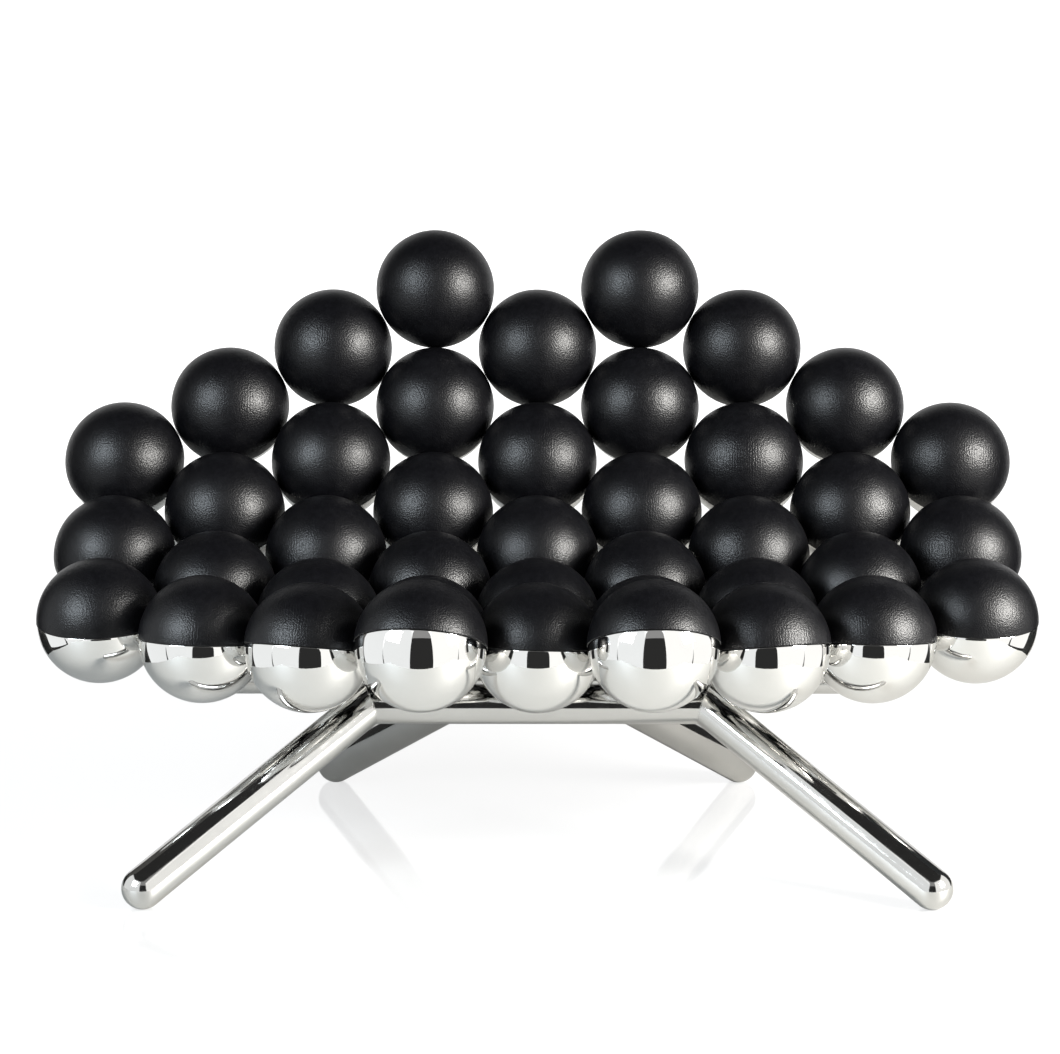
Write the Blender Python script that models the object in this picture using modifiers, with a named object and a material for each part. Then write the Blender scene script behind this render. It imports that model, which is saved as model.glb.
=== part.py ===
"""Lounge seat: touching balls, leather above and polished steel below, on a frame of steel tube.

The balls stand in nine straight columns packed like a honeycomb. Each column follows one
curve, which falls down the back, rounds into the seat and rises again at the front lip.
X runs across the seat, the sitter faces -Y, and Z = 0 is the floor.
"""

import math

import bmesh
import bpy
from mathutils import Matrix, Vector

# Balls, in metres
PITCH = 0.150                 # centre distance of two balls that touch
PAD_RADIUS = 0.0747           # leather half
SHELL_RADIUS = 0.0737         # steel half, one millimetre under the leather
SHELL_WALL = 0.003
SEAM_GAP = 0.0004             # between a pad's flat back and its shell's rim
COLUMN_SPACING = PITCH * math.sin(math.radians(60))
# column number from the middle: (row of its first ball, number of balls); rows count balls down the curve
COLUMN_ROWS = {0: (0.5, 5), 1: (0.0, 6), 2: (0.5, 5), 3: (1.0, 4), 4: (1.5, 3)}

# The curve that the ball centres follow, in degrees below the horizontal
TOP_HEADING = 90.0            # straight down at the top of the back
TURN_PER_BALL = 26.1          # how much the curve turns towards the seat at the top
TURN_EASE = 0.855             # and how much that turn eases off, per ball squared
ARC_PER_BALL = 1.0065 * PITCH # the curve is this much longer than the chord between two balls
STEPS_PER_BALL = 100
BACK_TOP = (0.2748, 0.6483)   # Y and Z of the topmost ball centres
LIP_ROW = 5.0
LIP_TILT = 7.0                # the front balls look back a little further than the curve does

# Weld necks that join the shells of one column
NECK_RADIUS = 0.006
NECK_MARGIN = 0.002           # clear of the seam

# Frame of round tube
TUBE_RADIUS = 0.02415
TUBE_WALL = 0.003
FIT_GAP = 0.0004              # pieces that touch keep this gap
FRONT_CORNER_X = 0.1986       # where the front legs leave the cross tube
FRONT_LEG_REACH = (0.2501, -0.1757)   # out and forward, from that corner to the foot
BEARER_HALF_LENGTH = 0.385    # without its domed ends
REAR_LEG_X = 0.0443           # where a rear leg meets the bearer
REAR_LEG_REACH = (0.2194, 0.2730)     # out and back, from the bearer to the foot
FOOT_FLAT = 0.00075           # taken off the bottom of each domed foot
LINK_X = 0.150
LINK_RADIUS = 0.0125
LINK_WALL = 0.002

# Facets
BALL_SEGMENTS = 12
BALL_RINGS = 8                # from pole to pole
INNER_RINGS = 6               # inside a hollow dome, where less shows
TUBE_SEGMENTS = 16
DOME_STEPS = 4
NECK_SEGMENTS = 8

LEATHER = ((0.012, 0.012, 0.014), 0.42, 0.0)   # colour, roughness, metallic
STEEL = ((0.80, 0.80, 0.81), 0.06, 1.0)


def clear_scene():
    for scene_object in list(bpy.data.objects):
        bpy.data.objects.remove(scene_object)


def new_collection(name):
    collection = bpy.data.collections.new(name)
    bpy.context.scene.collection.children.link(collection)
    return collection


def new_material(name, look):
    colour, roughness, metallic = look
    material = bpy.data.materials.new(name)
    material.use_nodes = True
    shader = material.node_tree.nodes["Principled BSDF"]
    shader.inputs["Base Color"].default_value = (*colour, 1.0)
    shader.inputs["Roughness"].default_value = roughness
    shader.inputs["Metallic"].default_value = metallic
    material.diffuse_color = (*colour, 1.0)
    return material


def add_object(name, mesh, collection, material=None):
    new_object = bpy.data.objects.new(name, mesh)
    collection.objects.link(new_object)
    if material is not None and not mesh.materials:
        mesh.materials.append(material)
    return new_object


def mesh_from(bm, name):
    mesh = bpy.data.meshes.new(name)
    bm.to_mesh(mesh)
    bm.free()
    mesh.shade_smooth()
    return mesh


def add_cutter(target, cutter, operation="DIFFERENCE"):
    """Cut or join the target with another object, which is then only a guide."""
    modifier = target.modifiers.new(cutter.name, "BOOLEAN")
    modifier.operation = operation
    modifier.solver = "EXACT"
    modifier.object = cutter
    cutter.hide_render = True
    cutter.display_type = "WIRE"


# ---------------------------------------------------------------- the seat's curve

def heading(row):
    """Direction of the curve at a row, in radians below the horizontal, facing forward."""
    return math.radians(TOP_HEADING - TURN_PER_BALL * row + TURN_EASE * row * row)


def curve_point(row):
    """Y and Z of a ball centre, walked down the curve from the top of the back."""
    y, z = BACK_TOP
    steps = round(row * STEPS_PER_BALL)
    length = ARC_PER_BALL / STEPS_PER_BALL
    for step in range(steps):
        angle = heading((step + 0.5) / STEPS_PER_BALL)
        y -= math.cos(angle) * length
        z -= math.sin(angle) * length
    return Vector((0.0, y, z))


def ball_tilt(row):
    """Turn about X that points a ball's leather half away from the curve, at the sitter."""
    extra = math.radians(LIP_TILT) if row == LIP_ROW else 0.0
    return heading(row) - extra


def ball_matrix(column, row):
    centre = curve_point(row)
    centre.x = column * COLUMN_SPACING
    return Matrix.Translation(centre) @ Matrix.Rotation(ball_tilt(row), 4, "X")


def rows_of(column):
    first, count = COLUMN_ROWS[abs(column)]
    return [first + index for index in range(count)]


# ---------------------------------------------------------------- balls

def half_ball(radius, segments, rings):
    """An open upper half of a faceted ball, with its rim on Z = 0."""
    bm = bmesh.new()
    bmesh.ops.create_uvsphere(bm, u_segments=segments, v_segments=rings, radius=radius)
    unwanted = [vert for vert in bm.verts if vert.co.z < -radius * 0.01]
    bmesh.ops.delete(bm, geom=unwanted, context="VERTS")
    return bm


def dome_shell(radius, wall, segments):
    """A hollow half ball, open at Z = 0, with a flat rim."""
    bm = half_ball(radius, segments, BALL_RINGS)
    inner = half_ball(radius - wall, segments, INNER_RINGS)
    bmesh.ops.reverse_faces(inner, faces=inner.faces)
    inner_mesh = mesh_from(inner, "inner")
    bm.from_mesh(inner_mesh)
    bpy.data.meshes.remove(inner_mesh)
    bmesh.ops.bridge_loops(bm, edges=[edge for edge in bm.edges if edge.is_boundary])
    bmesh.ops.recalc_face_normals(bm, faces=bm.faces)
    return bm


def make_pad_mesh(material):
    """Leather half ball: a padded dome with a flat back just above the seam."""
    bm = half_ball(PAD_RADIUS, BALL_SEGMENTS, BALL_RINGS)
    rim = [edge for edge in bm.edges if edge.is_boundary]
    bmesh.ops.contextual_create(bm, geom=rim)
    bmesh.ops.recalc_face_normals(bm, faces=bm.faces)
    bmesh.ops.translate(bm, verts=bm.verts, vec=(0.0, 0.0, SEAM_GAP))
    mesh = mesh_from(bm, "leather_pad")
    mesh.set_sharp_from_angle(angle=math.radians(60))
    mesh.materials.append(material)
    return mesh


def make_pads(collection, material):
    mesh = make_pad_mesh(material)
    for column in COLUMNS:
        for number, row in enumerate(rows_of(column), start=1):
            pad = add_object(f"leather_pad_{column_name(column)}_{number}", mesh, collection)
            matrix = ball_matrix(column, row)
            pad.location = matrix.translation
            pad.rotation_euler = matrix.to_euler()


def neck_between(bm, upper_row, lower_row):
    """A short weld neck between two shells, beside their contact point and under the seam."""
    start = curve_point(upper_row)
    end = curve_point(lower_row)
    along = (end - start).normalized()
    below = Vector((0.0, -along.z, along.y))
    seam_dip = 0.0
    for row, sign in ((upper_row, 1.0), (lower_row, -1.0)):
        tilt = ball_tilt(row)
        rim = Vector((0.0, -math.cos(tilt), -math.sin(tilt))) * sign
        seam_dip = max(seam_dip, rim.dot(below))
    offset = SHELL_RADIUS * seam_dip + NECK_RADIUS + NECK_MARGIN
    reach = math.sqrt(SHELL_RADIUS ** 2 - (offset + NECK_RADIUS) ** 2) - SHELL_WALL / 2
    middle = (start + end) / 2 + below * offset
    turn = along.to_track_quat("Z", "Y").to_matrix().to_4x4()
    bmesh.ops.create_cone(
        bm, cap_ends=True, segments=NECK_SEGMENTS, radius1=NECK_RADIUS, radius2=NECK_RADIUS,
        depth=(end - start).length - 2 * reach, matrix=Matrix.Translation(middle) @ turn)


def make_shell_column(column, collection, cutters, material):
    """Steel cups of one column, welded to each other by their necks."""
    name = f"steel_shells_{column_name(column)}"
    rows = rows_of(column)
    shells = bmesh.new()
    upside_down = Matrix.Rotation(math.pi, 4, "X")
    for row in rows:
        cup = dome_shell(SHELL_RADIUS, SHELL_WALL, BALL_SEGMENTS)
        place = Matrix.Translation(curve_point(row)) @ Matrix.Rotation(ball_tilt(row), 4, "X")
        cup.transform(place @ upside_down)
        cup_mesh = mesh_from(cup, "cup")
        shells.from_mesh(cup_mesh)
        bpy.data.meshes.remove(cup_mesh)
    shell_object = add_object(name, mesh_from(shells, name), collection, material)
    shell_object.location.x = column * COLUMN_SPACING
    necks = bmesh.new()
    for upper_row, lower_row in zip(rows, rows[1:]):
        neck_between(necks, upper_row, lower_row)
    neck_object = add_object(name + "_necks", mesh_from(necks, name + "_necks"), cutters)
    neck_object.location.x = column * COLUMN_SPACING
    add_cutter(shell_object, neck_object, "UNION")


# ---------------------------------------------------------------- frame

def tube_between(name, start, end, radius, wall, collection, material, domed_end=False):
    """A hollow tube from start to end, turned about its axis; a domed end closes round `end`."""
    length = (end - start).length
    inner = radius - wall
    points = []
    if domed_end:
        for step in range(DOME_STEPS + 1):
            angle = math.radians(90 * step / DOME_STEPS)
            points.append((inner * math.sin(angle), -inner * math.cos(angle)))
    else:
        points.append((inner, 0.0))
    points.append((inner, length))
    points.append((radius, length))
    if domed_end:
        for step in range(DOME_STEPS + 1):
            angle = math.radians(90 * step / DOME_STEPS)
            points.append((radius * math.cos(angle), -radius * math.sin(angle)))
    else:
        points.append((radius, 0.0))
    bm = bmesh.new()
    verts = [bm.verts.new((x, 0.0, z)) for x, z in points]
    for first, second in zip(verts, verts[1:]):
        bm.edges.new((first, second))
    if not domed_end:
        bm.edges.new((verts[-1], verts[0]))
    tube = add_object(name, mesh_from(bm, name), collection, material)
    tube.location = end
    tube.rotation_mode = "QUATERNION"
    tube.rotation_quaternion = (start - end).to_track_quat("Z", "Y")
    screw = tube.modifiers.new("turn", "SCREW")
    screw.steps = TUBE_SEGMENTS
    screw.render_steps = TUBE_SEGMENTS
    screw.use_merge_vertices = True
    screw.merge_threshold = 0.00005
    return tube


def block_cutter(name, face_centre, outward, collection):
    """A large block whose face lies at face_centre and which fills the outward side."""
    size = 0.3
    bm = bmesh.new()
    bmesh.ops.create_cube(bm, size=size)
    bmesh.ops.translate(bm, verts=bm.verts, vec=(0.0, 0.0, size / 2))
    block = add_object(name, mesh_from(bm, name), collection)
    block.location = face_centre
    block.rotation_mode = "QUATERNION"
    block.rotation_quaternion = outward.to_track_quat("Z", "Y")
    return block


def rod_cutter(name, centre, radius, collection):
    """A rod along X that leaves a saddle in what it cuts."""
    bm = bmesh.new()
    bmesh.ops.create_cone(
        bm, cap_ends=True, segments=2 * TUBE_SEGMENTS, radius1=radius, radius2=radius,
        depth=4 * BEARER_HALF_LENGTH, matrix=Matrix.Rotation(math.radians(90), 4, "Y"))
    rod = add_object(name, mesh_from(bm, name), collection)
    rod.location = centre
    return rod


def nest_under(first_row, second_row):
    """Centre of a cross tube that rests in the valley under two neighbouring rows of balls."""
    reach = SHELL_RADIUS + TUBE_RADIUS + FIT_GAP
    first = curve_point(first_row)
    second = curve_point(second_row)
    between = second - first
    below = Vector((0.0, -between.z, between.y)).normalized()
    drop = math.sqrt(reach ** 2 - (between.length / 2) ** 2)
    return (first + second) / 2 + below * drop


def make_front_frame(collection, cutters, material, front_axis):
    """The short cross tube and the two front legs, joined at mitres."""
    corner = Vector((FRONT_CORNER_X, front_axis.y, front_axis.z))
    foot = corner + Vector((FRONT_LEG_REACH[0], FRONT_LEG_REACH[1], 0.0))
    foot.z = TUBE_RADIUS - FOOT_FLAT
    leg_line = (foot - corner).normalized()
    spare = TUBE_RADIUS
    overrun = Vector((spare, 0.0, 0.0))
    mirrored = Vector((-1.0, 1.0, 1.0))
    cross_tube = tube_between(
        "front_cross_tube", corner * mirrored - overrun, corner + overrun, TUBE_RADIUS, TUBE_WALL,
        collection, material)
    floor = block_cutter("floor", Vector((0.0, 0.0, 0.0)), Vector((0.0, 0.0, -1.0)), cutters)
    floor.scale = (5.0, 5.0, 1.0)
    for side, flip in (("right", Vector((1.0, 1.0, 1.0))), ("left", mirrored)):
        direction = leg_line * flip
        inward = Vector((-flip.x, 0.0, 0.0))
        mitre = (direction - inward).normalized()
        corner_point = corner * flip
        leg = tube_between(
            f"front_leg_{side}", corner_point - direction * spare, foot * flip, TUBE_RADIUS,
            TUBE_WALL, collection, material, domed_end=True)
        half_gap = mitre * (FIT_GAP / 2)
        add_cutter(cross_tube, block_cutter(
            f"mitre_outer_{side}", corner_point - half_gap, mitre, cutters))
        add_cutter(leg, block_cutter(
            f"mitre_inner_{side}", corner_point + half_gap, -mitre, cutters))
        add_cutter(leg, floor)
    return floor


def make_rear_frame(collection, cutters, material, rear_axis, floor):
    """The long bearer under all the columns, its domed ends, and the two rear legs."""
    half = Vector((BEARER_HALF_LENGTH, 0.0, 0.0))
    tube_between(
        "bearer_tube", rear_axis - half, rear_axis + half, TUBE_RADIUS, TUBE_WALL, collection, material)
    saddle = rod_cutter("bearer_saddle", rear_axis, TUBE_RADIUS + FIT_GAP, cutters)
    for side, sign in (("right", 1.0), ("left", -1.0)):
        end = rear_axis + half * sign
        make_end_dome(f"bearer_end_{side}", end, sign, collection, material)
        start = rear_axis + Vector((REAR_LEG_X * sign, 0.0, 0.0))
        foot = start + Vector((REAR_LEG_REACH[0] * sign, REAR_LEG_REACH[1], 0.0))
        foot.z = TUBE_RADIUS - FOOT_FLAT
        leg = tube_between(
            f"rear_leg_{side}", start, foot, TUBE_RADIUS, TUBE_WALL, collection, material,
            domed_end=True)
        add_cutter(leg, saddle)
        add_cutter(leg, floor)
    return saddle


def make_end_dome(name, centre, sign, collection, material):
    bm = dome_shell(TUBE_RADIUS, TUBE_WALL, TUBE_SEGMENTS)
    dome = add_object(name, mesh_from(bm, name), collection, material)
    dome.location = centre + Vector((FIT_GAP * sign, 0.0, 0.0))
    dome.rotation_euler = (0.0, math.radians(90) * sign, 0.0)


def make_links(collection, cutters, material, front_axis, rear_axis, rear_saddle):
    """Two short tubes that tie the front cross tube to the bearer."""
    front_saddle = rod_cutter("cross_tube_saddle", front_axis, TUBE_RADIUS + FIT_GAP, cutters)
    for side, sign in (("right", 1.0), ("left", -1.0)):
        shift = Vector((LINK_X * sign, 0.0, 0.0))
        link = tube_between(
            f"frame_link_{side}", front_axis + shift, rear_axis + shift, LINK_RADIUS, LINK_WALL,
            collection, material)
        add_cutter(link, front_saddle)
        add_cutter(link, rear_saddle)


# ---------------------------------------------------------------- the whole seat

COLUMNS = range(-4, 5)


def column_name(column):
    if column == 0:
        return "middle"
    side = "right" if column > 0 else "left"
    return f"{side}{abs(column)}"


def main():
    clear_scene()
    parts = new_collection("ball_lounge_seat")
    cutters = new_collection("cutters")
    leather = new_material("black_leather", LEATHER)
    steel = new_material("polished_steel", STEEL)
    make_pads(parts, leather)
    for column in COLUMNS:
        make_shell_column(column, parts, cutters, steel)
    front_axis = nest_under(3.5, 4.0)
    rear_axis = nest_under(3.0, 3.5)
    floor = make_front_frame(parts, cutters, steel, front_axis)
    rear_saddle = make_rear_frame(parts, cutters, steel, rear_axis, floor)
    make_links(parts, cutters, steel, front_axis, rear_axis, rear_saddle)


main()
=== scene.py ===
"""Looks of the ball lounge seat, in a white studio.

The seat has leather pads, mirror-polished steel shells and a frame of polished tube. Every piece stands
where its CAD node is. Balls and tubes are measured from the node meshes.
"""

import math
import random

import bmesh
import bpy
from mathutils import Matrix, Vector, noise


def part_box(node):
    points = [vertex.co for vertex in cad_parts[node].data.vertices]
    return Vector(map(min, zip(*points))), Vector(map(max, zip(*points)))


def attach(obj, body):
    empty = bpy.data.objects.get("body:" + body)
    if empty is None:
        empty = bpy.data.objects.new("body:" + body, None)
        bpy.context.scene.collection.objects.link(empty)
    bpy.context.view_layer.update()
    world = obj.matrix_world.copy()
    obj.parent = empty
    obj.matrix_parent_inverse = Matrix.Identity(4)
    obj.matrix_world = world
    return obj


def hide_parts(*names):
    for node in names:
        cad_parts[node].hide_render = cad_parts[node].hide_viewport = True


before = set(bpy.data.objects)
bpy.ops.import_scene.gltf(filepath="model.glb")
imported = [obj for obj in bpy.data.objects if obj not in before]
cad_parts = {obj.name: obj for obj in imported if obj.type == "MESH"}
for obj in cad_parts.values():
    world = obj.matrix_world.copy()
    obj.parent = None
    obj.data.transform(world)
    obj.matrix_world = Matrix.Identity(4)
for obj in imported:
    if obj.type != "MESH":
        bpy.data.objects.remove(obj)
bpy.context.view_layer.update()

BODY = "root"
COLUMN_NAMES = ["left4", "left3", "left2", "left1", "middle", "right1", "right2", "right3", "right4"]

# Balls, in metres
SEAM_GAP = 0.0004            # a pad's flat back stands this far above the centre of its ball
SHELL_STEP = 0.0010          # the steel is this much smaller than the leather
SHELL_WALL = 0.003
BALL_SEGMENTS = 96
PAD_RINGS = 40
SHELL_RINGS = 32
SHELL_INNER_RINGS = 12
EDGE_ROLL = 0.0022           # how far in the leather's edge is turned
EDGE_RISE = 0.75             # height of the turned-in edge, as a share of EDGE_ROLL
LIP_ROLL = 0.0007            # radius of the steel rim
LIP_STEPS = 4
SWELL = 0.00035              # slow unevenness of the stuffed leather
SWELL_SIZE = 0.045
LEATHER_FROM = 0.97          # share of the radius beyond which the surface is stretched leather
PULL = 0.00030               # small pleats where the leather turns in
PLEATS = 34
PLEAT_HEIGHT = 0.04          # where pleats are deepest, as a share of the radius
PLEAT_SPREAD = 0.05
PLEAT_WANDER = 5.0           # how far pleats stray from even spacing, in radians
LEAST_PLEAT = 0.4            # the shallowest pleats, as a share of the deepest
RANDOM_LEAN = 0.8            # degrees

# The leather's turned-in edge: shares of the way inwards and of the way down
EDGE_CURVE = ((0.0, 0.35), (0.06, 0.6), (0.18, 0.8), (0.4, 0.95), (0.7, 1.0))

# Extra lean of the balls at the edge of the seat, in degrees: about X, then about Y
LEANS = {
    "left4_3": (-4.5, -1.0),
    "left3_4": (-5.8, 1.7),
    "left2_5": (-3.4, 4.4),
    "left1_6": (-0.7, 3.5),
    "middle_5": (-0.3, 1.8),
    "right1_6": (-0.7, -0.6),
    "right2_5": (-3.4, -4.0),
    "right3_4": (-7.0, 0.6),
    "right4_3": (-5.5, 0.0),
}

# Weld necks between the shells of a column
NECK_RADIUS = 0.006
NECK_FLARE = 0.003
NECK_MARGIN = 0.002
NECK_SEGMENTS = 32
NECK_STEPS = 12
NECK_FLARE_POWER = 4         # higher keeps the flare nearer the shells

# Tubes
TUBE_WALL = 0.003
LONG_SHARE = 0.5             # edges at least this share of the longest give a tube's direction
TUBE_SEGMENTS = 72
DOME_RINGS = 20
TUBE_RINGS = 24
BEAD_RADIUS = 0.0011
BEAD_SEGMENTS = 10
BEAD_SINK = 0.45             # how deep a weld bead sits, as a share of its radius

# Leather colours and shine
LEATHER_DARK = (0.0010, 0.0010, 0.0014)
LEATHER_LIGHT = (0.0022, 0.0022, 0.0028)
LEATHER_SHINE = 0.25         # specular level
CREASE_DEPTH = 0.00012
FOLD_DEPTH = 0.00012
GRAIN_DEPTH = 0.00026
PORE_DEPTH = 0.00006

# Steel colours
SHELL_DULL = (0.66, 0.655, 0.64)
SHELL_BRIGHT = (0.72, 0.715, 0.70)
TUBE_DULL = (0.48, 0.475, 0.46)
TUBE_BRIGHT = (0.60, 0.595, 0.58)

SCATTER = 7.3                # how far a piece's place moves its pattern
WHITE = (1.0, 1.0, 1.0)

# Camera
CAMERA_PLACE = (0.0, -3.5757, 1.0707)
CAMERA_DOWN = 10.74          # degrees below level
CAMERA_LEFT = 0.1414         # degrees to the left of straight ahead
LENS = 103.2
SENSOR = 36.0
FAR_CLIP = 200.0

# Studio room, in metres
FLOOR_HALF = 70.0
FLOOR_FADE = (1.2, 3.6)      # distances from the seat where the fade to white starts and ends
FLOOR_GLOW = (0.66, 1.1)
PLATFORM_HALF = 0.95
PLATFORM_FRONT = -0.92
PLATFORM_BACK = 2.5
PLATFORM_DROP = 0.001
ROOM_RADIUS = 7.0
ROOM_GLOW = 0.035
WORLD_STRENGTH = 1.05

# Studio lamps, at headings in degrees to either side of the camera
SEAT_MIDDLE = (0.0, 0.0, 0.4)
PANEL_DISTANCE = 3.4
PANEL_SIZE = (2.92, 5.2)
PANEL_RISE = 8.0
# Headings of two panels side by side, their strength and their colour
PANELS = {
    "left": ((39.5, 85.5), 1.22, (0.96, 0.985, 1.0)),
    "right": ((42.5, 88.5), 1.42, (1.0, 0.995, 0.98)),
}
# Heading, rise, size, strength and colour of a small lamp in front of the panels
HOT_SPOTS = {
    "left": (47.0, 24.0, 1.3, 28.0, (0.84, 0.93, 1.0)),
    "right": (60.0, 19.0, 1.2, 98.0, (1.0, 0.98, 0.94)),
}
FLAG_PLACES = ((0.95, 0.04), (0.86, 0.44))    # X and Y of the two edges of a dark flag
FLAG_HEIGHT = 1.6
TOP_HEADING = 1.5
TOP_RISE = 34.0
TOP_SIZE = (1.9, 1.3)
TOP_STRENGTH = 0.35


# ---------------------------------------------------------------- small helpers

def mesh_object(name, bm, material, smooth_angle=40.0):
    mesh = bpy.data.meshes.new(name)
    bmesh.ops.recalc_face_normals(bm, faces=bm.faces)
    bm.to_mesh(mesh)
    bm.free()
    mesh.shade_smooth()
    mesh.set_sharp_from_angle(angle=math.radians(smooth_angle))
    mesh.materials.append(material)
    made = bpy.data.objects.new(name, mesh)
    bpy.context.scene.collection.objects.link(made)
    return made


def add_ring(bm, points):
    return [bm.verts.new(point) for point in points]


def join_rings(bm, first, second):
    count = len(first)
    for index in range(count):
        following = (index + 1) % count
        bm.faces.new((first[index], first[following], second[following], second[index]))


def close_ring(bm, ring, point):
    tip = bm.verts.new(point)
    count = len(ring)
    for index in range(count):
        bm.faces.new((ring[index], ring[(index + 1) % count], tip))


def lathe(bm, profile, segments, place):
    """Turn a profile of (radius, height) about Z; a radius of zero closes it in a point."""
    before = None
    first_tip = None
    for radius, height in profile:
        if radius == 0.0:
            if before is None:
                first_tip = (0.0, 0.0, height)
            else:
                close_ring(bm, before, place @ Vector((0.0, 0.0, height)))
            continue
        ring = add_ring(bm, [
            place @ Vector((
                radius * math.cos(2 * math.pi * index / segments),
                radius * math.sin(2 * math.pi * index / segments),
                height))
            for index in range(segments)])
        if before is not None:
            join_rings(bm, before, ring)
        elif first_tip is not None:
            close_ring(bm, ring, place @ Vector(first_tip))
        before = ring


def arc(centre, radius, start, end, steps):
    """Points of a profile's arc, with angles in degrees from the outward direction."""
    return [
        (centre[0] + radius * math.cos(math.radians(start + (end - start) * step / steps)),
         centre[1] + radius * math.sin(math.radians(start + (end - start) * step / steps)))
        for step in range(steps + 1)]


# ---------------------------------------------------------------- measured from the CAD nodes

def flat_side(node):
    """The outward direction and the middle of a pad's flat back."""
    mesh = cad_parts[node].data
    areas = {}
    groups = {}
    for face in mesh.polygons:
        key = tuple(round(value, 2) for value in face.normal)
        areas[key] = areas.get(key, 0.0) + face.area
        groups.setdefault(key, []).append(face)
    faces = groups[max(areas, key=areas.get)]
    normal = sum((face.normal * face.area for face in faces), Vector()).normalized()
    indices = {index for face in faces for index in face.vertices}
    points = {tuple(round(value, 6) for value in mesh.vertices[index].co) for index in indices}
    middle = sum((Vector(point) for point in points), Vector()) / len(points)
    return normal, middle


class Ball:
    """Place of one ball, from its pad's CAD node."""

    def __init__(self, label):
        self.label = label
        self.node = "leather_pad_" + label
        normal, middle = flat_side(self.node)
        self.centre = middle + normal * SEAM_GAP
        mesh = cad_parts[self.node].data
        self.radius = max((vert.co - self.centre).length for vert in mesh.vertices)
        chance = random.Random("lean " + label)
        random_lean = (chance.gauss(0.0, RANDOM_LEAN), chance.gauss(0.0, RANDOM_LEAN))
        lean = LEANS.get(label, random_lean)
        tilt = math.atan2(normal.y, -normal.z) + math.radians(lean[0])
        self.turn = Matrix.Rotation(math.radians(lean[1]), 4, "Y") @ Matrix.Rotation(tilt, 4, "X")
        self.place = Matrix.Translation(self.centre) @ self.turn


def column_balls(column):
    labels = []
    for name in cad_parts:
        if name.startswith(f"leather_pad_{column}_"):
            labels.append(name[len("leather_pad_"):])
    return [Ball(label) for label in sorted(labels, key=lambda label: int(label.split("_")[1]))]


def long_direction(mesh):
    """The direction that most of a mesh's long edges share, which leaves out the diagonals."""
    spans = []
    for edge in mesh.edges:
        span = mesh.vertices[edge.vertices[1]].co - mesh.vertices[edge.vertices[0]].co
        largest = max(span, key=abs)
        spans.append(span if largest > 0 else -span)
    longest = max(span.length for span in spans)
    groups = {}
    for span in spans:
        if span.length > longest * LONG_SHARE:
            key = tuple(round(value, 3) for value in span.normalized())
            groups.setdefault(key, []).append(span)
    return sum(max(groups.values(), key=len), Vector()).normalized()


class Tube:
    """Axis, radius and ends of a round tube, from its CAD node."""

    def __init__(self, node):
        self.node = node
        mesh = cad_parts[node].data
        self.along = long_direction(mesh)
        across = self.along.orthogonal().normalized()
        upright = self.along.cross(across)
        points = [vert.co for vert in mesh.vertices]
        side = [point.dot(across) for point in points]
        height = [point.dot(upright) for point in points]
        reach = [point.dot(self.along) for point in points]
        self.axis = across * (min(side) + max(side)) / 2 + upright * (min(height) + max(height)) / 2
        self.radius = max(
            (point - self.axis - self.along * point.dot(self.along)).length for point in points)
        self.low = min(reach)
        self.high = max(reach)

    def at(self, distance):
        return self.axis + self.along * distance


def crossing(first, second):
    """The point on the first tube's axis that is nearest to the second's."""
    normal = first.along.cross(second.along)
    side = second.along.cross(normal)
    distance = (second.axis - first.axis).dot(side) / first.along.dot(side)
    return first.at(distance)


# ---------------------------------------------------------------- materials

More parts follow.
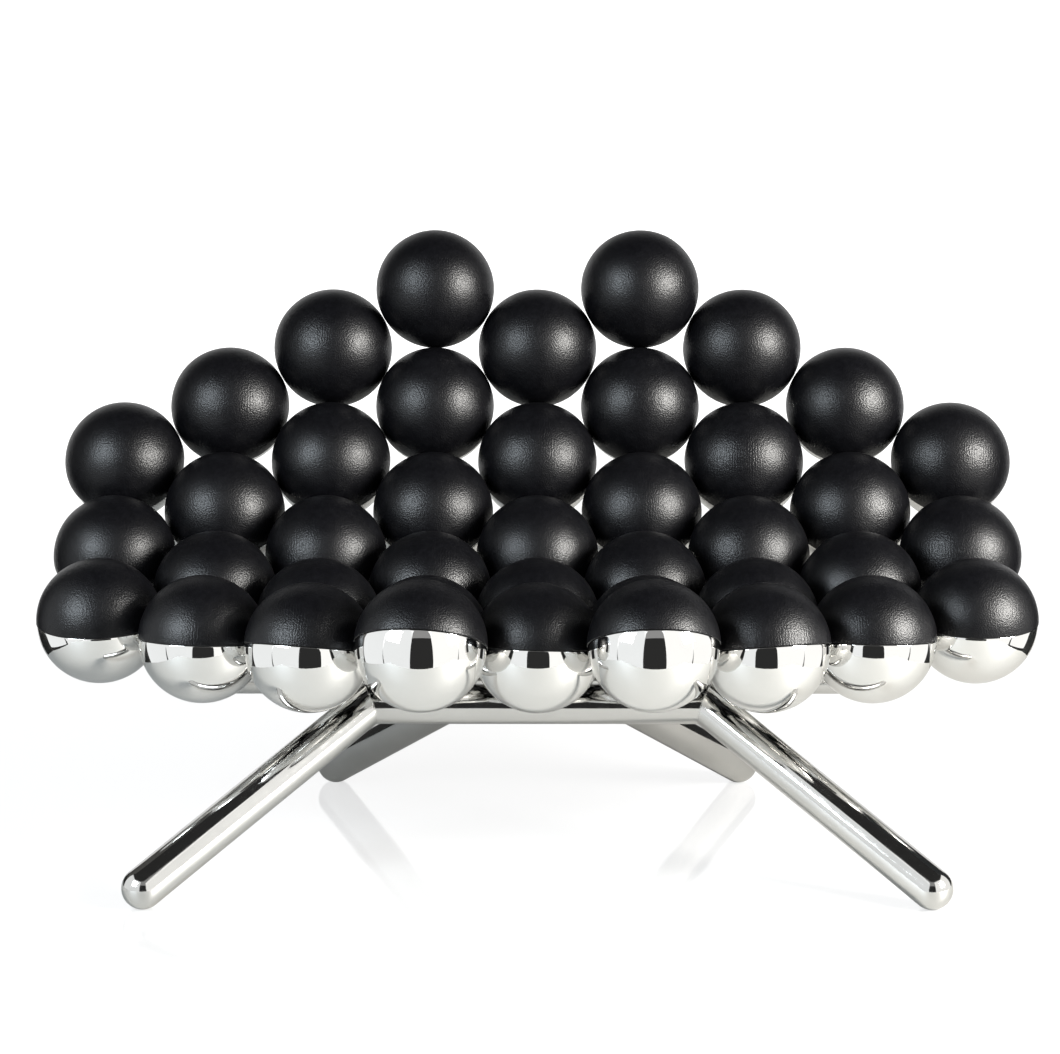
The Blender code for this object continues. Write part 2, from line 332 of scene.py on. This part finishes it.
class Look:
    """A node material, with a few short ways to add nodes."""

    def __init__(self, name):
        self.material = bpy.data.materials.new(name)
        self.material.use_nodes = True
        self.tree = self.material.node_tree
        self.shader = self.tree.nodes["Principled BSDF"]
        self.coordinates = self.node("ShaderNodeTexCoord").outputs["Object"]

    def node(self, kind, **settings):
        made = self.tree.nodes.new(kind)
        for key, value in settings.items():
            setattr(made, key, value)
        return made

    def link(self, output, target):
        self.tree.links.new(output, target)

    def set(self, **values):
        for key, value in values.items():
            self.shader.inputs[key.replace("_", " ")].default_value = value

    def scattered(self):
        """Object coordinates, moved by the piece's place, so that no two pieces look alike."""
        place = self.node("ShaderNodeObjectInfo").outputs["Location"]
        spread = self.node("ShaderNodeVectorMath", operation="SCALE")
        spread.inputs["Scale"].default_value = SCATTER
        self.link(place, spread.inputs[0])
        moved = self.node("ShaderNodeVectorMath", operation="ADD")
        self.link(self.coordinates, moved.inputs[0])
        self.link(spread.outputs[0], moved.inputs[1])
        return moved.outputs[0]

    def noise(self, vector, scale, detail=3.0, roughness=0.5):
        made = self.node("ShaderNodeTexNoise")
        made.inputs["Scale"].default_value = scale
        made.inputs["Detail"].default_value = detail
        made.inputs["Roughness"].default_value = roughness
        self.link(vector, made.inputs["Vector"])
        return made.outputs["Fac"]

    def pebbles(self, vector, scale):
        made = self.node("ShaderNodeTexVoronoi", feature="SMOOTH_F1")
        made.inputs["Scale"].default_value = scale
        made.inputs["Smoothness"].default_value = 0.35
        self.link(vector, made.inputs["Vector"])
        return made.outputs["Distance"]

    def ridges(self, vector, scale):
        """Fine wandering lines side by side."""
        made = self.node("ShaderNodeTexWave", bands_direction="X")
        made.inputs["Scale"].default_value = scale
        made.inputs["Distortion"].default_value = 5.0
        made.inputs["Detail"].default_value = 2.0
        made.inputs["Detail Scale"].default_value = 1.5
        self.link(vector, made.inputs["Vector"])
        return made.outputs["Fac"]

    def ranged(self, value, low, high, new_low, new_high):
        made = self.node("ShaderNodeMapRange")
        for index, number in enumerate((low, high, new_low, new_high), start=1):
            made.inputs[index].default_value = number
        self.link(value, made.inputs[0])
        return made.outputs[0]

    def maths(self, operation, first, second):
        made = self.node("ShaderNodeMath", operation=operation)
        for index, value in enumerate((first, second)):
            if isinstance(value, (int, float)):
                made.inputs[index].default_value = value
            else:
                self.link(value, made.inputs[index])
        return made.outputs[0]

    def colour(self, amount, first, second):
        """A base colour between two, by an amount from 0 to 1."""
        made = self.node("ShaderNodeMix", data_type="RGBA")
        made.inputs["A"].default_value = (*first, 1.0)
        made.inputs["B"].default_value = (*second, 1.0)
        self.link(amount, made.inputs["Factor"])
        self.link(made.outputs["Result"], self.shader.inputs["Base Color"])

    def bump(self, height, distance, under=None):
        made = self.node("ShaderNodeBump")
        made.inputs["Distance"].default_value = distance
        made.inputs["Strength"].default_value = 1.0
        self.link(height, made.inputs["Height"])
        if under is not None:
            self.link(under, made.inputs["Normal"])
        return made.outputs[0]


def leather_look():
    look = Look("black_leather_grain")
    vector = look.scattered()
    grain = look.pebbles(vector, 600.0)
    pores = look.noise(vector, 1500.0, detail=2.0)
    folds = look.noise(vector, 150.0, detail=3.0, roughness=0.6)
    waves = look.noise(vector, 28.0, detail=2.0)
    patches = look.noise(vector, 17.0, detail=1.0)
    look.colour(look.ranged(folds, 0.35, 0.7, 0.0, 1.0), LEATHER_DARK, LEATHER_LIGHT)
    dullness = look.maths("ADD", look.ranged(waves, 0.3, 0.7, 0.30, 0.36),
                          look.ranged(grain, 0.1, 0.8, -0.03, 0.05))
    look.link(dullness, look.shader.inputs["Roughness"])
    # Creases lie in patches only
    creases = look.maths("MULTIPLY", look.ridges(vector, 95.0),
                         look.ranged(patches, 0.58, 0.70, 0.0, 1.0))
    creased = look.bump(creases, CREASE_DEPTH)
    folded = look.bump(folds, FOLD_DEPTH, under=creased)
    grained = look.bump(grain, GRAIN_DEPTH, under=folded)
    fine = look.bump(pores, PORE_DEPTH, under=grained)
    look.link(fine, look.shader.inputs["Normal"])
    look.set(IOR=1.45, Specular_IOR_Level=LEATHER_SHINE)
    return look.material


def shell_look():
    look = Look("mirror_polished_steel")
    vector = look.scattered()
    smudges = look.noise(vector, 22.0, detail=4.0, roughness=0.6)
    waviness = look.noise(vector, 9.0, detail=1.0)
    look.colour(smudges, SHELL_DULL, SHELL_BRIGHT)
    look.link(look.ranged(smudges, 0.45, 0.75, 0.025, 0.055), look.shader.inputs["Roughness"])
    look.link(look.bump(waviness, 0.0004), look.shader.inputs["Normal"])
    look.set(Metallic=1.0)
    return look.material


def tube_look():
    look = Look("polished_steel_tube_finish")
    vector = look.coordinates
    strokes = look.noise(vector, 120.0, detail=5.0, roughness=0.7)
    cloud = look.noise(vector, 14.0, detail=3.0)
    waviness = look.noise(vector, 17.0, detail=1.0)
    look.colour(cloud, TUBE_DULL, TUBE_BRIGHT)
    look.link(look.ranged(strokes, 0.35, 0.7, 0.05, 0.13), look.shader.inputs["Roughness"])
    look.link(look.bump(waviness, 0.0006), look.shader.inputs["Normal"])
    look.set(Metallic=1.0)
    return look.material


# ---------------------------------------------------------------- balls

def pad_profile(radius):
    """From the top of the dome to its seam, round the turned-in edge, to the flat back."""
    roll_height = SEAM_GAP + EDGE_ROLL * EDGE_RISE
    stop = math.asin(roll_height / radius)
    profile = [(0.0, radius)]
    for step in range(1, PAD_RINGS + 1):
        angle = math.pi / 2 + (stop - math.pi / 2) * step / PAD_RINGS
        profile.append((radius * math.cos(angle), radius * math.sin(angle)))
    for across, down in EDGE_CURVE:
        profile.append((radius - EDGE_ROLL * across, roll_height + (SEAM_GAP - roll_height) * down))
    profile.append((radius - EDGE_ROLL - EDGE_ROLL, SEAM_GAP))
    profile.append((0.0, SEAM_GAP))
    return profile


def stuff_pad(mesh, radius, label):
    """Move the leather off a true sphere, as stuffing and hand stretching do."""
    chance = random.Random("stuffing " + label)
    shift = Vector((chance.uniform(-9, 9), chance.uniform(-9, 9), chance.uniform(-9, 9)))
    phase = chance.uniform(0.0, 2 * math.pi)
    for vert in mesh.vertices:
        distance = vert.co.length
        if distance < radius * LEATHER_FROM:
            continue
        height = vert.co.z / radius
        swell = SWELL * noise.noise(vert.co / SWELL_SIZE + shift)
        round_angle = math.atan2(vert.co.y, vert.co.x)
        wander = noise.noise(Vector((round_angle * 2.0, height * 3.0, 0.0)) + shift)
        pleat = math.sin(PLEATS * round_angle + phase + PLEAT_WANDER * wander)
        fade = math.exp(-((height - PLEAT_HEIGHT) / PLEAT_SPREAD) ** 2)
        pleat_size = PULL * fade * (LEAST_PLEAT + (1 - LEAST_PLEAT) * abs(wander))
        change = swell + pleat_size * (pleat - 1.0) * 0.5 - SWELL * 0.5
        vert.co = vert.co * (1.0 + change / distance)


def make_pad(ball, material):
    bm = bmesh.new()
    lathe(bm, pad_profile(ball.radius), BALL_SEGMENTS, Matrix.Identity(4))
    pad = mesh_object("leather_ball_pad_" + ball.label, bm, material, smooth_angle=50.0)
    stuff_pad(pad.data, ball.radius, ball.label)
    pad.matrix_world = ball.place
    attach(pad, BODY)
    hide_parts(ball.node)


def shell_profile(radius):
    """A cup that opens upwards: outside from the bottom, over the rolled rim, down the inside."""
    profile = [(0.0, -radius)]
    stop = math.asin(LIP_ROLL / radius)
    for step in range(1, SHELL_RINGS + 1):
        angle = -math.pi / 2 + (math.pi / 2 - stop) * step / SHELL_RINGS
        profile.append((radius * math.cos(angle), radius * math.sin(angle)))
    profile += arc((radius - LIP_ROLL, -LIP_ROLL), LIP_ROLL, 90.0 / LIP_STEPS, 90.0, LIP_STEPS - 1)
    inner = radius - SHELL_WALL
    for step in range(SHELL_INNER_RINGS):
        angle = -math.pi / 2 * step / SHELL_INNER_RINGS
        profile.append((inner * math.cos(angle), inner * math.sin(angle)))
    profile.append((0.0, -inner))
    return profile


def add_neck(bm, upper, lower, shell_radius):
    """A short neck between two shells of a column, below their nearest points, with flared welds."""
    along = (lower.centre - upper.centre).normalized()
    below = Vector((0.0, -along.z, along.y))
    dip = 0.0
    for ball, sign in ((upper, 1.0), (lower, -1.0)):
        forward = ball.turn @ Vector((0.0, -1.0, 0.0))
        dip = max(dip, forward.dot(below) * sign)
    offset = shell_radius * dip + NECK_RADIUS + NECK_MARGIN
    reach = math.sqrt(shell_radius ** 2 - (offset + NECK_RADIUS) ** 2) - SHELL_WALL / 2
    length = (lower.centre - upper.centre).length - 2 * reach
    middle = (upper.centre + lower.centre) / 2 + below * offset
    place = Matrix.Translation(middle) @ along.to_track_quat("Z", "Y").to_matrix().to_4x4()
    profile = [(0.0, -length / 2)]
    for step in range(NECK_STEPS + 1):
        share = step / NECK_STEPS
        flare = abs(2 * share - 1) ** NECK_FLARE_POWER
        profile.append((NECK_RADIUS + NECK_FLARE * flare, length * (share - 0.5)))
    profile.append((0.0, length / 2))
    lathe(bm, profile, NECK_SEGMENTS, place)


def make_shells(column, balls, material):
    bm = bmesh.new()
    shell_radius = balls[0].radius - SHELL_STEP
    for ball in balls:
        lathe(bm, shell_profile(shell_radius), BALL_SEGMENTS, ball.place)
    for upper, lower in zip(balls, balls[1:]):
        add_neck(bm, upper, lower, shell_radius)
    shells = mesh_object("steel_half_balls_" + column, bm, material, smooth_angle=60.0)
    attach(shells, BODY)
    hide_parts("steel_shells_" + column)


# ---------------------------------------------------------------- tube frame

def plane_end(point, normal):
    """Cuts a tube's lines at a plane."""
    return lambda origin, along: (point - origin).dot(normal) / along.dot(normal)


def saddle_end(other):
    """Cuts a tube's lines where they first meet the round side of another tube."""
    def cut(origin, along):
        start = origin - other.axis
        start = start - other.along * start.dot(other.along)
        slope = along - other.along * along.dot(other.along)
        a = slope.dot(slope)
        b = 2 * start.dot(slope)
        c = start.dot(start) - other.radius ** 2
        root = math.sqrt(max(b * b - 4 * a * c, 0.0))
        return (-b + root) / (2 * a), (-b - root) / (2 * a)
    return cut


def ring_directions(tube):
    across = tube.along.orthogonal().normalized()
    upright = tube.along.cross(across)
    return [
        across * math.cos(2 * math.pi * index / TUBE_SEGMENTS)
        + upright * math.sin(2 * math.pi * index / TUBE_SEGMENTS)
        for index in range(TUBE_SEGMENTS)]


def cut_ring(tube, radius, cut, near):
    """Where the tube's lines at this radius meet the cut, on the side nearest to a point."""
    points = []
    near_distance = (near - tube.axis).dot(tube.along)
    for direction in ring_directions(tube):
        origin = tube.axis + direction * radius
        found = cut(origin, tube.along)
        if isinstance(found, tuple):
            found = min(found, key=lambda distance: abs(distance - near_distance))
        points.append(origin + tube.along * found)
    return points


def add_bead(bm, points):
    """A weld bead: a thin roll that follows a closed ring of points, sunk a little into the tube."""
    count = len(points)
    middle = sum(points, Vector()) / count
    rings = []
    for index in range(count):
        ahead = (points[(index + 1) % count] - points[index - 1]).normalized()
        side = points[index] - middle
        side = (side - ahead * side.dot(ahead)).normalized()
        top = ahead.cross(side)
        circle = [2 * math.pi * step / BEAD_SEGMENTS for step in range(BEAD_SEGMENTS)]
        rings.append(add_ring(bm, [
            points[index] + side * (BEAD_RADIUS * math.cos(angle) - BEAD_RADIUS * BEAD_SINK)
            + top * BEAD_RADIUS * math.sin(angle)
            for angle in circle]))
    for index in range(count):
        join_rings(bm, rings[index], rings[(index + 1) % count])


def build_tube(name, tube, cuts, nodes, material, dome_at=None, beads=()):
    """A tube between two cuts, each with a point near it.

    With a dome, the second end closes round a point instead, and the second cut is None.
    """
    bm = bmesh.new()
    inner_radius = tube.radius - TUBE_WALL
    (first_cut, first_near), second = cuts
    outer = [cut_ring(tube, tube.radius, first_cut, first_near)]
    inner = [cut_ring(tube, inner_radius, first_cut, first_near)]
    if dome_at is None:
        second_cut, second_near = second
        last_outer = cut_ring(tube, tube.radius, second_cut, second_near)
        last_inner = cut_ring(tube, inner_radius, second_cut, second_near)
    else:
        sign = 1.0 if (dome_at - first_near).dot(tube.along) > 0 else -1.0
        last_outer = [dome_at + direction * tube.radius for direction in ring_directions(tube)]
        last_inner = [dome_at + direction * inner_radius for direction in ring_directions(tube)]
    for step in range(1, TUBE_RINGS):
        share = step / TUBE_RINGS
        outer.append([a.lerp(b, share) for a, b in zip(outer[0], last_outer)])
    outer.append(last_outer)
    inner.append(last_inner)
    tips = None
    if dome_at is not None:
        for step in range(1, DOME_RINGS):
            angle = math.pi / 2 * step / DOME_RINGS
            for rings, radius in ((outer, tube.radius), (inner, inner_radius)):
                rings.append([
                    dome_at + direction * radius * math.cos(angle)
                    + tube.along * sign * radius * math.sin(angle)
                    for direction in ring_directions(tube)])
        tips = (dome_at + tube.along * sign * tube.radius, dome_at + tube.along * sign * inner_radius)
    # Nothing reaches below the floor
    outer_rings = [
        add_ring(bm, [Vector((point.x, point.y, max(point.z, 0.0))) for point in ring])
        for ring in outer]
    inner_rings = [add_ring(bm, ring) for ring in inner]
    for rings in (outer_rings, inner_rings):
        for one, other in zip(rings, rings[1:]):
            join_rings(bm, one, other)
    join_rings(bm, outer_rings[0], inner_rings[0])
    if tips is None:
        join_rings(bm, outer_rings[-1], inner_rings[-1])
    else:
        close_ring(bm, outer_rings[-1], tips[0])
        close_ring(bm, inner_rings[-1], tips[1])
    for ring in beads:
        add_bead(bm, ring)
    made = mesh_object(name, bm, material, smooth_angle=35.0)
    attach(made, BODY)
    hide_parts(*nodes)


def far_end(tube, near):
    """Centre of the domed end of a tube, at the end away from a point."""
    distance = (near - tube.axis).dot(tube.along)
    if abs(tube.high - distance) > abs(tube.low - distance):
        return tube.at(tube.high - tube.radius)
    return tube.at(tube.low + tube.radius)


def make_frame(material):
    cross = Tube("front_cross_tube")
    bearer = Tube("bearer_tube")
    mitres = {}
    for side in ("left", "right"):
        leg = Tube("front_leg_" + side)
        corner = crossing(cross, leg)
        foot = far_end(leg, corner)
        down = (foot - corner).normalized()
        inward = Vector((-corner.x, 0.0, 0.0)).normalized()
        mitre = plane_end(corner, (down - inward).normalized())
        mitres[side] = (mitre, corner)
        bead = cut_ring(leg, leg.radius, mitre, corner)
        build_tube("front_leg_tube_" + side, leg, ((mitre, corner), None),
                   ["front_leg_" + side], material, dome_at=foot, beads=[bead])
    build_tube("front_cross_tube_polished", cross, (mitres["left"], mitres["right"]),
               ["front_cross_tube"], material)
    make_bearer(bearer, material)
    for side in ("left", "right"):
        leg = Tube("rear_leg_" + side)
        start = crossing(leg, bearer)
        foot = far_end(leg, start)
        saddle = saddle_end(bearer)
        near = start + (foot - start).normalized() * bearer.radius
        bead = cut_ring(leg, leg.radius, saddle, near)
        build_tube("rear_leg_tube_" + side, leg, ((saddle, near), None),
                   ["rear_leg_" + side], material, dome_at=foot, beads=[bead])
        link = Tube("frame_link_" + side)
        front_near = crossing(link, cross)
        rear_near = crossing(link, bearer)
        between = (rear_near - front_near).normalized()
        front_near = front_near + between * cross.radius
        rear_near = rear_near - between * bearer.radius
        build_tube("frame_link_tube_" + side, link,
                   ((saddle_end(cross), front_near), (saddle_end(bearer), rear_near)),
                   ["frame_link_" + side], material)


def make_bearer(bearer, material):
    """The long tube with its two domed ends, closed all round."""
    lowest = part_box("bearer_end_left")[0].x
    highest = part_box("bearer_end_right")[1].x
    radius = bearer.radius
    bm = bmesh.new()
    profile = [(0.0, lowest)]
    for step in range(1, DOME_RINGS + 1):
        angle = math.pi / 2 * step / DOME_RINGS
        profile.append((radius * math.sin(angle), lowest + radius * (1 - math.cos(angle))))
    straight = highest - lowest - 2 * radius
    for step in range(1, TUBE_RINGS):
        profile.append((radius, lowest + radius + straight * step / TUBE_RINGS))
    for step in range(DOME_RINGS):
        angle = math.pi / 2 * (1 - step / DOME_RINGS)
        profile.append((radius * math.sin(angle), highest - radius * (1 - math.cos(angle))))
    profile.append((0.0, highest))
    middle = bearer.axis
    place = Matrix.Translation((0.0, middle.y, middle.z)) @ Matrix.Rotation(math.pi / 2, 4, "Y")
    lathe(bm, profile, TUBE_SEGMENTS, place)
    made = mesh_object("bearer_tube_polished", bm, material)
    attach(made, BODY)
    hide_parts("bearer_tube", "bearer_end_left", "bearer_end_right")


# ---------------------------------------------------------------- studio

def rectangle(half_width, front, back, height):
    """Corners of a level rectangle, the same distance to either side of the seat's middle."""
    return [
        (-half_width, front, height), (half_width, front, height),
        (half_width, back, height), (-half_width, back, height)]


def stage_plane(name, corners, material):
    bm = bmesh.new()
    bm.faces.new([bm.verts.new(corner) for corner in corners])
    made = mesh_object(name, bm, material)
    return made


def seen_by(thing, camera, others, shadow):
    """Which rays meet a studio object: the camera's, the reflected and scattered, and the shadow's."""
    thing.visible_camera = camera
    thing.visible_diffuse = others
    thing.visible_glossy = others
    thing.visible_transmission = others
    thing.visible_shadow = shadow


def floor_look():
    """Pale glossy floor that fades to plain white away from the seat."""
    look = Look("white_floor")
    distance = look.node("ShaderNodeVectorMath", operation="LENGTH")
    look.link(look.coordinates, distance.inputs[0])
    glow = look.ranged(distance.outputs["Value"], *FLOOR_FADE, *FLOOR_GLOW)
    look.set(Base_Color=(0.14, 0.14, 0.14, 1.0), Roughness=0.08, IOR=1.38, Emission_Color=(*WHITE, 1.0))
    look.link(glow, look.shader.inputs["Emission Strength"])
    return look.material


def plain_look(name, colour, glow=0.0):
    look = Look(name)
    look.set(Base_Color=(*colour, 1.0), Roughness=0.6)
    look.set(Emission_Color=(*colour, 1.0), Emission_Strength=glow)
    return look.material


def room_look():
    """Walls of the studio: white behind the seat, dark overhead and behind the camera."""
    look = Look("studio_walls")
    direction = look.node("ShaderNodeVectorMath", operation="NORMALIZE")
    look.link(look.coordinates, direction.inputs[0])
    parts = look.node("ShaderNodeSeparateXYZ")
    look.link(direction.outputs[0], parts.inputs[0])
    behind = look.ranged(parts.outputs["Y"], 0.70, 0.74, 0.0, 1.0)
    low = look.ranged(parts.outputs["Z"], 0.35, 0.80, 1.0, 0.0)
    glow = look.maths("ADD", look.maths("MULTIPLY", behind, low), ROOM_GLOW)
    look.set(Base_Color=(0.0, 0.0, 0.0, 1.0), Roughness=1.0, Specular_IOR_Level=0.0)
    look.set(Emission_Color=(*WHITE, 1.0))
    look.link(glow, look.shader.inputs["Emission Strength"])
    return look.material


def add_softbox(name, heading, rise, distance, size, radiance, colour=WHITE):
    """A lamp that faces the seat. Heading is to the right of the camera, and both angles are in degrees."""
    width, height = size
    light = bpy.data.lights.new(name, "AREA")
    light.shape = "RECTANGLE"
    light.size = width
    light.size_y = height
    light.energy = radiance * math.pi * width * height
    light.color = colour
    across = math.cos(math.radians(rise))
    away = Vector((
        math.sin(math.radians(heading)) * across,
        -math.cos(math.radians(heading)) * across,
        math.sin(math.radians(rise))))
    holder = bpy.data.objects.new(name, light)
    bpy.context.scene.collection.objects.link(holder)
    holder.location = Vector(SEAT_MIDDLE) + away * distance
    holder.rotation_mode = "QUATERNION"
    holder.rotation_quaternion = away.to_track_quat("Z", "Y")
    holder.visible_camera = False


def make_studio():
    scene = bpy.context.scene
    world = bpy.data.worlds.new("white_studio")
    world.use_nodes = True
    background = world.node_tree.nodes["Background"]
    background.inputs["Color"].default_value = (*WHITE, 1.0)
    background.inputs["Strength"].default_value = WORLD_STRENGTH
    scene.world = world
    scene.view_settings.view_transform = "Standard"

    # The floor that the camera sees
    floor = stage_plane("studio_floor", rectangle(FLOOR_HALF, -FLOOR_HALF, FLOOR_HALF, 0.0), floor_look())
    seen_by(floor, True, False, False)
    # The floor that the steel reflects ends at the front of the platform
    under = stage_plane(
        "platform_floor", rectangle(PLATFORM_HALF, PLATFORM_FRONT, PLATFORM_BACK, -PLATFORM_DROP),
        plain_look("platform_white", (0.34, 0.34, 0.33), 0.10))
    seen_by(under, False, True, True)

    bm = bmesh.new()
    bmesh.ops.create_icosphere(bm, subdivisions=4, radius=ROOM_RADIUS)
    room = mesh_object("studio_room", bm, room_look())
    seen_by(room, False, True, True)

    black = plain_look("flag_black", (0.010, 0.010, 0.010))
    for sign, side in ((-1.0, "left"), (1.0, "right")):
        headings, strength, tint = PANELS[side]
        for number, heading in enumerate(headings, start=1):
            add_softbox(f"panel_{side}_{number}", heading * sign, PANEL_RISE, PANEL_DISTANCE,
                        PANEL_SIZE, strength, tint)
        heading, rise, size, strength, tint = HOT_SPOTS[side]
        add_softbox(f"hot_spot_{side}", heading * sign, rise, PANEL_DISTANCE - 0.1,
                    (size, size), strength, tint)
        near, far = [Vector((x * sign, y, 0.0)) for x, y in FLAG_PLACES]
        up = Vector((0.0, 0.0, FLAG_HEIGHT))
        flag = stage_plane("dark_flag_" + side, [near, far, far + up, near + up], black)
        seen_by(flag, False, True, False)
        flag.visible_diffuse = False
    add_softbox("panel_above_camera", TOP_HEADING, TOP_RISE, PANEL_DISTANCE, TOP_SIZE, TOP_STRENGTH)


def make_camera():
    data = bpy.data.cameras.new("photo_camera")
    data.lens = LENS
    data.sensor_width = SENSOR
    data.clip_end = FAR_CLIP
    camera = bpy.data.objects.new("photo_camera", data)
    bpy.context.scene.collection.objects.link(camera)
    camera.location = CAMERA_PLACE
    camera.rotation_euler = (math.radians(90.0 - CAMERA_DOWN), 0.0, math.radians(CAMERA_LEFT))
    bpy.context.scene.camera = camera


# ---------------------------------------------------------------- the seat

def main():
    leather = leather_look()
    shell_steel = shell_look()
    tube_steel = tube_look()
    for column in COLUMN_NAMES:
        balls = column_balls(column)
        for ball in balls:
            make_pad(ball, leather)
        make_shells(column, balls, shell_steel)
    make_frame(tube_steel)
    make_studio()
    make_camera()


main()
